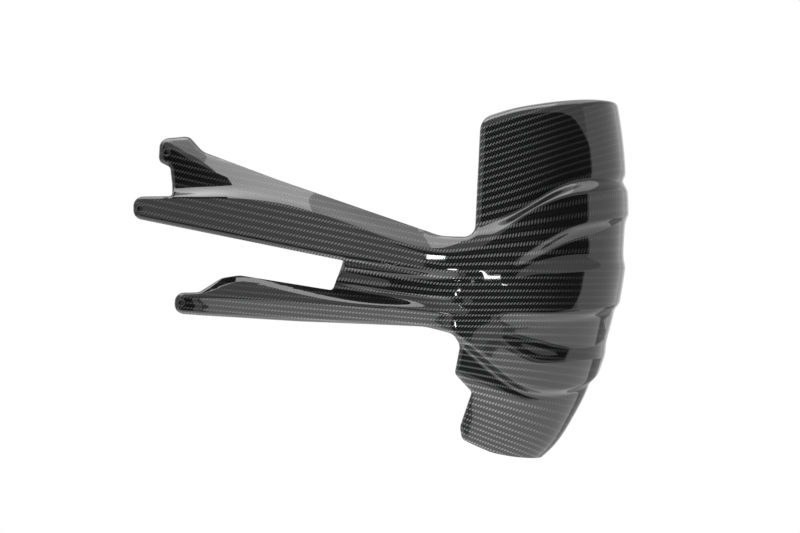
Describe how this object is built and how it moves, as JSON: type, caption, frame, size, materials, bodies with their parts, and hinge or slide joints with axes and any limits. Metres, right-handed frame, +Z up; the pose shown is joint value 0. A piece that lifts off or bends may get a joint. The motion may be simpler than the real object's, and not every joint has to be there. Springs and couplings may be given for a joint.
{
  "type": "motorbike splash guard",
  "caption": "Glossy carbon-fibre splash guard that hugs the rear tyre: drilled arms run back over a raised palm whose fanned ridges flow round a curved shell.",
  "frame": {"origin": "centre of the front bolt hole, half way through the plate of the upper arm", "axes": "+X towards the rear of the bike, along the arms; +Z up; -Y out of the bike, square to the front plate; the tyre runs on the +Y side"},
  "size_m": [0.382, 0.199, 0.2792],
  "materials": {
    "carbon": "woven carbon fibre under a clear gloss coat"
  },
  "bodies": {
    "root": {"splash_guard": "carbon"}
  },
  "joints": []
}
